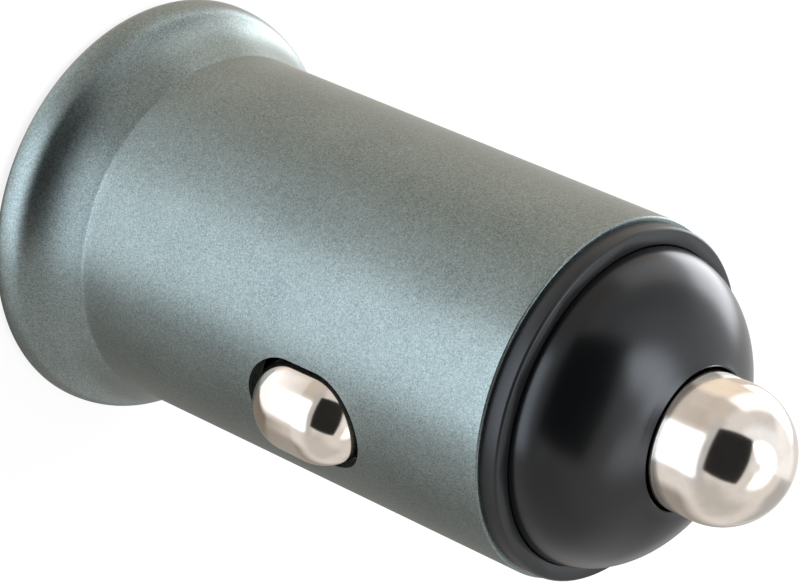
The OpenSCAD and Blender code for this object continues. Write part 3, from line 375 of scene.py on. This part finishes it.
# The pieces' finishes; the table goes by the names of the materials in the part's source
SHELL = anodised_shell()
COLLAR = satin_plastic("black_plastic", rgb(11, 12, 13), rgb(23, 24, 25), 0.10, 0.36, 0.006)
DOME = satin_plastic("nose_plastic", rgb(3, 4, 5), rgb(9, 10, 11), 0.08, 0.22, 0.004)
FASCIA = satin_plastic("fascia_plastic", rgb(15, 16, 17), rgb(31, 32, 34), 0.16, 0.42, 0.012)
TONGUE = satin_plastic("tongue_plastic", rgb(22, 22, 24), rgb(38, 38, 41), 0.12, 0.38, 0.005)
TIP_NICKEL = bright_nickel("tip_nickel", rgb(240, 230, 218), 0.085, (6, 6, 1))
CONTACT_NICKEL = bright_nickel("contact_nickel", rgb(238, 227, 214), 0.075, (1, 1, 5))
FINISHES = {
    "shell_metal": SHELL, "black_plastic": COLLAR, "nose_plastic": DOME, "nickel": TIP_NICKEL,
    "clear_lens": clear_guide(), "board_green": board_lacquer(),
    "lamp_resin": grained("lamp_resin", rgb(214, 206, 168), rgb(238, 232, 204), 0.35, 0.3),
    "tin_plate": worn_metal(
        "tin_plate", rgb(188, 189, 188), rgb(216, 217, 216), 0.28, 0.12, (1, 1, 6)),
    "gold_plate": worn_metal(
        "gold_plate", rgb(206, 164, 92), rgb(232, 196, 122), 0.2, 0.15, (1, 1, 5)),
    "ferrite": grained("ferrite", rgb(38, 38, 41), rgb(66, 65, 68), 0.62, 0.12, 0.01),
    "copper_wire": worn_metal("copper_wire", rgb(166, 84, 44), rgb(206, 122, 72), 0.22, 0.5),
    "can_metal": worn_metal(
        "can_metal", rgb(180, 182, 185), rgb(214, 215, 217), 0.3, 0.14, (1, 1, 4)),
    "can_sleeve": grained(
        "can_sleeve", rgb(20, 26, 48), rgb(32, 40, 66), 0.3, 0.8, 0.002, Coat_Weight=0.4),
    "bung_rubber": grained("bung_rubber", rgb(34, 34, 34), rgb(56, 56, 55), 0.75, 0.15, 0.01),
    "chip_resin": grained("chip_resin", rgb(26, 26, 28), rgb(46, 46, 48), 0.55, 0.08, 0.008),
    "fuse_ceramic": grained("fuse_ceramic", rgb(206, 202, 190), rgb(232, 229, 220), 0.4, 0.1),
    "tan_ceramic": grained("tan_ceramic", rgb(156, 124, 90), rgb(184, 150, 112), 0.45, 0.1),
    "terminal_brass": worn_metal(
        "terminal_brass", rgb(196, 160, 88), rgb(222, 190, 120), 0.26, 0.3),
    "spring_steel": worn_metal("spring_steel", rgb(172, 172, 172), rgb(206, 206, 204), 0.2, 0.4),
}


# Meshes

def add_object(name, mesh):
    """A new object of this mesh, in the scene."""
    piece = bpy.data.objects.new(name, mesh)
    bpy.context.scene.collection.objects.link(piece)
    return piece


def place_piece(piece, body, material, nodes):
    """Gives a finished piece its body, its finish and the CAD nodes it stands for."""
    piece.data.materials.clear()
    piece.data.materials.append(material)
    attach(piece, body)
    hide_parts(*nodes)
    return piece


def shade_by_angle(mesh, degrees):
    """Smooth faces, with edges over the angle kept sharp."""
    bm = bmesh.new()
    bm.from_mesh(mesh)
    for face in bm.faces:
        face.smooth = True
    for edge in bm.edges:
        edge.smooth = len(edge.link_faces) == 2 and edge.calc_face_angle(0) < math.radians(degrees)
    bm.to_mesh(mesh)
    bm.free()


def arc(centre, radius, start, end, steps):
    """Points of an arc as (radius, height)."""
    return [(centre[0] + radius * math.cos(math.radians(start + (end - start) * i / steps)),
             centre[1] + radius * math.sin(math.radians(start + (end - start) * i / steps)))
            for i in range(steps + 1)]


def rounded(points, radii, steps):
    """A closed outline with each corner rounded by its radius, 0 keeps it sharp."""
    out = []
    for i, (corner, radius) in enumerate(zip(points, radii)):
        here, before = Vector(corner), Vector(points[i - 1])
        after = Vector(points[(i + 1) % len(points)])
        if radius <= 0:
            out.append(tuple(here))
            continue
        a, b = (before - here).normalized(), (after - here).normalized()
        half = a.angle(b) / 2
        most = 0.49 * min((before - here).length, (after - here).length)
        cut = min(radius / math.tan(half), most)
        start, end = here + a * cut, here + b * cut
        for s in range(steps + 1):
            t = s / steps
            out.append(tuple(start * (1 - t) ** 2 + here * 2 * t * (1 - t) + end * t ** 2))
    return out


def turned(name, outline, steps):
    """A solid turned about Z from its closed outline of (radius, height) points in millimetres."""
    bm = bmesh.new()
    rings = []
    for r, z in outline:
        if r < 1e-6:
            rings.append([bm.verts.new((0, 0, z * MM))])
        else:
            rings.append([bm.verts.new((r * MM * math.cos(2 * math.pi * k / steps),
                                        r * MM * math.sin(2 * math.pi * k / steps), z * MM))
                          for k in range(steps)])
    for low, high in zip(rings, rings[1:] + rings[:1]):
        for k in range(steps):
            m = (k + 1) % steps
            corners = list(dict.fromkeys((low[k % len(low)], low[m % len(low)],
                                          high[m % len(high)], high[k % len(high)])))
            if len(corners) > 2:
                bm.faces.new(corners)
    bmesh.ops.recalc_face_normals(bm, faces=bm.faces)
    mesh = bpy.data.meshes.new(name)
    bm.to_mesh(mesh)
    bm.free()
    return add_object(name, mesh)


def apply_modifiers(piece):
    """Turns the piece with its modifiers into a plain mesh."""
    graph = bpy.context.evaluated_depsgraph_get()
    mesh = bpy.data.meshes.new_from_object(piece.evaluated_get(graph))
    piece.modifiers.clear()
    piece.data = mesh


def bevelled(piece, width_mm, segments=2):
    """Eases the piece's edges and shades it by angle."""
    bevel = piece.modifiers.new("bevel", "BEVEL")
    bevel.width, bevel.segments, bevel.limit_method = width_mm * MM, segments, "ANGLE"
    bevel.angle_limit = math.radians(BEVEL_ANGLE)
    bevel.use_clamp_overlap = True
    bevel.harden_normals = False
    apply_modifiers(piece)
    shade_by_angle(piece.data, BEVEL_SHARP_ANGLE)
    return piece


def copy_of(node, name):
    """A clean copy of a CAD node: corners merged and flat faces joined."""
    bm = bmesh.new()
    bm.from_mesh(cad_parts[node].data)
    bmesh.ops.remove_doubles(bm, verts=bm.verts, dist=2e-7)
    bmesh.ops.dissolve_limit(bm, angle_limit=math.radians(0.4), verts=bm.verts, edges=bm.edges)
    mesh = bpy.data.meshes.new(name)
    bm.to_mesh(mesh)
    bm.free()
    return add_object(name, mesh)


def cut_away(piece, cutter):
    """Cuts the second object out of the first and removes it."""
    cut = piece.modifiers.new("cut", "BOOLEAN")
    cut.operation, cut.solver, cut.object = "DIFFERENCE", "EXACT", cutter
    apply_modifiers(piece)
    bpy.data.objects.remove(cutter)


# Shell

def slot_cutter():
    """Both slots as one round-ended bar along X."""
    bm = bmesh.new()
    half, r = (SLOT_LEN - SLOT_W) / 2, SLOT_W / 2
    ring = [(r * math.sin(a), half * (1 if math.cos(a) >= 0 else -1) + r * math.cos(a))
            for a in (2 * math.pi * (k + 0.5) / SLOT_STEPS for k in range(SLOT_STEPS))]
    ends = [[bm.verts.new((x * MM, y * MM, (SLOT_Z + z) * MM)) for y, z in ring]
            for x in (-SLOT_REACH, SLOT_REACH)]
    bm.faces.new(ends[0])
    bm.faces.new(ends[1])
    for k in range(SLOT_STEPS):
        m = (k + 1) % SLOT_STEPS
        bm.faces.new((ends[0][k], ends[0][m], ends[1][m], ends[1][k]))
    bmesh.ops.recalc_face_normals(bm, faces=bm.faces)
    mesh = bpy.data.meshes.new("slot_cutter")
    bm.to_mesh(mesh)
    bm.free()
    return add_object("slot_cutter", mesh)


def bezier(start, pull, push, end, t):
    """Point at the share t of a cubic curve, from its ends and the two points that draw it."""
    return tuple(start * (1 - t) ** 3 + pull * 3 * t * (1 - t) ** 2 + push * 3 * t * t * (1 - t)
                 + end * t ** 3)


def flange_outline():
    """Crown of the rim, then the flare down to the crease, as (radius, height)."""
    rim = (FLANGE_R - RIM_R, RIM_R)
    crown = [(rim[0] + RIM_R * math.cos(a), rim[1] + RIM_RISE * math.sin(a))
             for a in map(math.radians, range(0, CROWN_END + 1, CROWN_STEP))]
    start, end = Vector(crown[-1]), Vector((CREASE_R, FLARE_H))
    lean = math.atan(RIM_R / RIM_RISE * math.tan(math.radians(CROWN_END)))
    crease = math.radians(CREASE_ANGLE)
    reach = (end - start).length / 3
    pull = start + Vector((-math.sin(lean), math.cos(lean))) * reach
    push = end - Vector((-math.sin(crease), math.cos(crease))) * reach
    flare = [bezier(start, pull, push, end, i / FLARE_STEPS) for i in range(1, FLARE_STEPS + 1)]
    return arc(rim, RIM_R, -90, 0, RIM_STEPS)[:-1] + crown + flare[:-1] + [(CREASE_R, FLARE_H)]


def make_shell():
    """Turned shell: flat recess, rounded rim, trumpet flare, crease, taper and bright lip."""
    lip_low = SHELL_LEN - SHELL_CHAMFER
    wall = [(CREASE_R + (NOSE_R - CREASE_R) * t, FLARE_H + (lip_low - FLARE_H) * t)
            for t in (0.02, 0.12, 0.3, 0.42, 0.5, 0.58, 0.66, 0.8, 0.97)]
    lip = rounded([(NOSE_R, SHELL_LEN - 1), (NOSE_R, lip_low), (NOSE_R - SHELL_CHAMFER, SHELL_LEN),
                   (BORE_R, SHELL_LEN), (BORE_R, 20)], (0, 0.05, 0.05, 0.05, 0), 3)[1:-1]
    bore = [(BORE_R, z) for z in (30, 25, 20, 15, 8, 3, RECESS_DEPTH)]
    outline = ([(RECESS_R, LIP_EASE), (RECESS_R + LIP_EASE, 0.0)] + flange_outline()
               + [(CREASE_R - 0.1 * CREASE_EASE, FLARE_H + CREASE_EASE)] + wall + lip + bore
               + [(RECESS_R, RECESS_DEPTH)])
    shell = turned("shell_finish", outline, SHELL_STEPS)
    cut_away(shell, slot_cutter())
    shade_by_angle(shell.data, 28)
    place_piece(shell, "plug_body", SHELL, ["body_shell"])


# Nose and tip

def make_dome():
    """Nose dome: soft lip round the tip's hole, skirt into the carrier."""
    full_h = (HOLE_EDGE - DOME_BASE) / math.sqrt(1 - (HOLE_R / DOME_R) ** 2)
    edge = math.acos(HOLE_R / DOME_R)
    curve = [(DOME_R * math.cos(edge * i / DOME_CURVE_STEPS),
              DOME_BASE + full_h * math.sin(edge * i / DOME_CURVE_STEPS))
             for i in range(2, DOME_CURVE_STEPS - 1)]
    lip = [(HOLE_R + 0.12, HOLE_EDGE), (HOLE_R + 0.04, HOLE_EDGE - 0.04),
           (HOLE_R, HOLE_EDGE - 0.14)]
    outline = ([(SKIRT_BORE_R, SKIRT_END), (SKIRT_R, SKIRT_END), (SKIRT_R, DOME_BASE),
                (DOME_R - EASE, DOME_BASE), (DOME_R, DOME_BASE + EASE)] + curve + lip
               + [(HOLE_R, STOP_Z), (STOP_R, STOP_Z), (SKIRT_BORE_R, STOP_Z - 1)])
    dome = turned("dome_finish", outline, DOME_STEPS)
    shade_by_angle(dome.data, 32)
    place_piece(dome, "plug_body", DOME, ["nose_dome"])


def make_tip():
    """Turned bullet tip with the flange that holds it in, and the bore for its spring."""
    ball = arc((0, TIP_END - TIP_R), TIP_R, 0, 90, BALL_STEPS)
    flange = [(TIP_FLANGE_R - EASE, TIP_LOW), (TIP_FLANGE_R, TIP_LOW + EASE),
              (TIP_FLANGE_R, TIP_FLANGE_TOP - EASE), (TIP_FLANGE_R - EASE, TIP_FLANGE_TOP)]
    wall = [(TIP_R, z) for z in (TIP_FLANGE_TOP, 40, 41, 42)]
    outline = ([(TIP_BORE_R, TIP_LOW)] + flange + wall + ball[:-1]
               + [(0, TIP_END), (0, TIP_BORE_END), (TIP_BORE_R, TIP_BORE_END)])
    tip = turned("tip_finish", outline, TIP_STEPS)
    shade_by_angle(tip.data, 40)
    place_piece(tip, "tip", TIP_NICKEL, ["centre_tip"])


# Coils and contact strips

def coil_shape():
    """Wire along a helix; the pitch closes up over the end share of the turns."""
    s = Shape("coil")
    turns, radius, wire = s.size("Turns"), s.size("Radius"), s.size("Wire")
    low, high, share = s.size("Low"), s.size("High"), s.size("Share")
    turn, place = s.size("Turn", "Rotation"), s.size("Place", "Vector")
    spiral = s.node("GeometryNodeCurveSpiral", None, {
        "Resolution": COIL_STEPS, "Rotations": turns, "Start Radius": radius, "End Radius": radius,
        "Height": 1.0})
    at = s.node("ShaderNodeSeparateXYZ", None, {0: s.node("GeometryNodeInputPosition")}, out="X")
    rise = ((at.twin("Z") - share) / (1.0 - 2.0 * share)).clamp()
    path = s.node("GeometryNodeSetPosition", None, {
        "Geometry": spiral, "Position": s.node("ShaderNodeCombineXYZ", None, {
            0: at, 1: at.twin("Y"), 2: low + (high - low) * rise})})
    ring = s.node("GeometryNodeCurvePrimitiveCircle", None, {
        "Resolution": WIRE_STEPS, "Radius": wire / 2.0})
    wound = s.node("GeometryNodeCurveToMesh", None, {0: path, 1: ring, "Fill Caps": True})
    s.finish(s.node("GeometryNodeTransform", None, {
        "Geometry": wound, "Rotation": turn, "Translation": place}))
    return s


def strips_shape():
    """Two pairs of the starting strip, an inner and an outer one, side by side along X."""
    s = Shape("strips")
    strip = Value(s, s.start.outputs["Geometry"])
    pairs = []
    for name in ("Inner", "Outer"):
        half = s.size(name)
        pairs.append(s.node("GeometryNodeMeshLine", {"mode": "OFFSET"}, {
            "Count": 2, "Start Location": s.node("ShaderNodeCombineXYZ", None, {0: 0.0 - half}),
            "Offset": s.node("ShaderNodeCombineXYZ", None, {0: 2.0 * half})}))
    points = s.node("GeometryNodeJoinGeometry")
    joint = points.socket.node.inputs[0]
    for pair in pairs:
        s.tree.links.new(pair.socket, joint)
    s.finish(s.node("GeometryNodeInstanceOnPoints", None, {"Points": points, "Instance": strip}))
    return s


def joined(name, meshes):
    """One object from several meshes, merged, with its normals outwards."""
    bm = bmesh.new()
    for mesh in meshes:
        bm.from_mesh(mesh)
    bmesh.ops.remove_doubles(bm, verts=bm.verts, dist=1e-7)
    bmesh.ops.recalc_face_normals(bm, faces=bm.faces)
    mesh = bpy.data.meshes.new(name)
    bm.to_mesh(mesh)
    bm.free()
    shade_by_angle(mesh, 50)
    return add_object(name, mesh)


def make_coils():
    """Tip spring with closed ends, and the choke's winding in three layers of turns."""
    coil = coil_shape()
    empty = bpy.data.meshes.new("empty")
    spring = joined("tip_spring_finish", [coil.grow(
        empty, turns=float(SPRING_TURNS), radius=SPRING_D / 2 * MM, wire=SPRING_WIRE * MM,
        low=SPRING_LOW * MM, high=SPRING_HIGH * MM, share=SPRING_END_SHARE)])
    place_piece(spring, "plug_body", FINISHES["spring_steel"], ["tip_spring"])
    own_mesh(spring)
    layers = [coil.grow(
        empty, turns=WINDING_TURNS, radius=radius * MM, wire=wire * MM, low=wire / 2 * MM,
        high=(WINDING_H - wire / 2) * MM, share=0.0, turn=(-math.pi / 2, 0, 0),
        place=(0, WINDING_Y * MM, WINDING_Z * MM)) for radius, wire in WINDING_LAYERS]
    place_piece(joined("inductor_winding_finish", layers), "plug_body",
                FINISHES["copper_wire"], ["inductor_winding"])


def make_contact_strips():
    """Four plated strips on each tongue, grown from one strip with eased edges."""
    strips = strips_shape()
    for level in ("upper", "lower"):
        node = "port_contacts_" + level
        one = copy_of(node, "strip")
        bm = bmesh.new()
        bm.from_mesh(one.data)
        others = [v for v in bm.verts if v.co.x < (PIN_OUTER - 1.0) * MM]
        bmesh.ops.delete(bm, geom=others, context="VERTS")
        bmesh.ops.translate(bm, verts=bm.verts, vec=(-PIN_OUTER * MM, 0, 0))
        bm.to_mesh(one.data)
        bm.free()
        bevelled(one, 0.03)
        grown = strips.grow(one.data, inner=PIN_INNER * MM, outer=PIN_OUTER * MM)
        four = joined(node + "_finish", [grown])
        bpy.data.objects.remove(one)
        place_piece(four, "plug_body", FINISHES["gold_plate"], [node])


def finished(node, material, width_mm, segments=2, body="plug_body"):
    """A CAD node's copy with eased edges and its finish."""
    piece = bevelled(copy_of(node, node + "_finish"), width_mm, segments)
    return place_piece(piece, body, material, [node])


# Studio

def studio_light(brightness, warmth):
    """Light of this brightness, bluish at warmth 0 and cream at 1."""
    cool, warm = (0.88, 0.99, 1.13), (1.07, 0.97, 0.87)
    return tuple(brightness * (c + (w - c) * warmth) for c, w in zip(cool, warm)) + (1.0,)


def dark_window(f, direction):
    """Mask of the dark opening that the softboxes leave round the camera, a rectangle in space."""
    a, e = math.radians(WINDOW_AZIMUTH), math.radians(WINDOW_ELEVATION)
    ahead = Vector((math.cos(a) * math.cos(e), math.sin(a) * math.cos(e), math.sin(e)))
    side = Vector((-math.sin(a), math.cos(a), 0))

    def along(axis):
        return f.node("ShaderNodeVectorMath", {"operation": "DOT_PRODUCT"},
                      {0: direction, 1: tuple(axis)}, out="Value")
    depth = along(ahead)
    near = depth.math("MAXIMUM", depth, 0.05)
    wide, high = abs(along(side) / near), abs(along(ahead.cross(side)) / near)
    return (wide.step(WINDOW_W + WINDOW_EDGE, WINDOW_W - WINDOW_EDGE)
            * high.step(WINDOW_H + WINDOW_EDGE, WINDOW_H - WINDOW_EDGE) * depth.step(0.05, 0.15))


def make_world():
    """White studio: even soft light, and in reflections softboxes and the dark gap between them."""
    world = bpy.data.worlds.new("studio")
    bpy.context.scene.world = world
    f = Finish(world)
    ray = f.node("ShaderNodeLightPath", out="Is Camera Ray")
    glossy, through = ray.twin("Is Glossy Ray"), ray.twin("Is Transmission Ray")
    turned_back = f.node("ShaderNodeVectorRotate", {"rotation_type": "Z_AXIS"}, {
        "Vector": f.node("ShaderNodeTexCoord", out="Generated"),
        "Angle": math.radians(-CAMERA_AZIMUTH)})
    x = f.node("ShaderNodeSeparateXYZ", None, {0: turned_back}, out="X")
    y, z = x.twin("Y"), x.twin("Z")
    azimuth = y.math("ARCTAN2", y, x) * math.degrees(1)
    elevation = z.math("ARCSINE", z) * math.degrees(1)
    seen = studio_light(LEVEL, LEVEL_WARMTH)
    for left, right, low, high, soft, brightness, warmth in PANELS:
        mask = (azimuth.step(left - soft, left + soft) * azimuth.step(right + soft, right - soft)
                * elevation.step(low - soft, low + soft) * elevation.step(high + soft, high - soft))
        seen = f.blend(seen, studio_light(brightness, warmth), mask)
    seen = f.blend(seen, studio_light(WINDOW_LEVEL, 0.5), dark_window(f, turned_back))
    studio = f.blend((ROOM_GREY, ROOM_GREY, ROOM_GREY, 1), seen, glossy)
    colour = f.blend(studio, (1, 1, 1, 1), (ray + through).clamp())
    shown = f.node("ShaderNodeBackground", None, {"Color": colour, "Strength": 1.0})
    f.node("ShaderNodeOutputWorld", None, {"Surface": shown})


def make_floor():
    """Pale floor, white to the camera but for the part's shadow, and clear from below."""
    bm = bmesh.new()
    bmesh.ops.create_grid(bm, x_segments=1, y_segments=1, size=FLOOR_HALF)
    mesh = bpy.data.meshes.new("floor")
    bm.to_mesh(mesh)
    bm.free()
    floor = add_object("floor", mesh)
    f = new_finish("floor_pale")
    paper = f.node("ShaderNodeBsdfDiffuse", None, {"Color": (0.9, 0.9, 0.9, 1)})
    white = f.node("ShaderNodeEmission", None, {"Color": (1, 1, 1, 1), "Strength": 1.0})
    both = f.node("ShaderNodeMixShader", None, {0: FLOOR_WHITE, 1: paper, 2: white})
    ray = f.node("ShaderNodeLightPath", out="Is Camera Ray")
    glossy, through = ray.twin("Is Glossy Ray"), ray.twin("Is Transmission Ray")
    shown = f.node("ShaderNodeMixShader", None, {
        0: (ray + glossy + through).clamp(), 1: paper, 2: both})
    under = f.node("ShaderNodeNewGeometry", out="Backfacing")
    clear = f.node("ShaderNodeBsdfTransparent")
    shown = f.node("ShaderNodeMixShader", None, {0: under, 1: shown, 2: clear})
    f.node("ShaderNodeOutputMaterial", None, {"Surface": shown})
    mesh.materials.append(f.owner)
    floor.location.z = -FLOOR_DROP * MM
    floor.visible_glossy = floor.visible_diffuse = floor.visible_shadow = False


def add_softbox(name, azimuth, elevation, distance, size, power):
    """An area lamp aimed at the part, its azimuth counted from the camera's."""
    data = bpy.data.lights.new(name, "AREA")
    data.shape, data.size, data.size_y = "RECTANGLE", size, size
    data.energy = power
    lamp = bpy.data.objects.new(name, data)
    bpy.context.scene.collection.objects.link(lamp)
    a, e = math.radians(azimuth + CAMERA_AZIMUTH), math.radians(elevation)
    out = Vector((math.cos(a) * math.cos(e), math.sin(a) * math.cos(e), math.sin(e)))
    lamp.location = Vector((0, 0, SOFTBOX_AIM * MM)) + out * distance
    lamp.rotation_mode = "QUATERNION"
    lamp.rotation_quaternion = (-out).to_track_quat("-Z", "Y")
    lamp.visible_camera = lamp.visible_glossy = False


# The scene

bpy.context.scene.view_settings.view_transform = "Standard"
make_camera()
make_world()
make_floor()
add_softbox("softbox_key", -98, 45, 0.6, 0.4, 3.0)
add_softbox("softbox_top", 60, 70, 0.6, 0.5, 2.0)

make_shell()
make_dome()
make_tip()
finished("inner_carrier", COLLAR, 0.06)
for side in ("left", "right"):
    finished("ground_contact_" + side, CONTACT_NICKEL, 0.05, body="contact_" + side)
finished("port_fascia", FASCIA, 0.12, 3)
for level in ("upper", "lower"):
    finished("port_shell_" + level, FINISHES["tin_plate"], 0.04)
    finished("port_tongue_" + level, TONGUE, 0.06)
make_contact_strips()
make_coils()

# Every other CAD node keeps its solid and takes the finish that its own material names
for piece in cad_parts.values():
    for place in piece.material_slots:
        place.material = FINISHES[place.material.name.split(".")[0]]
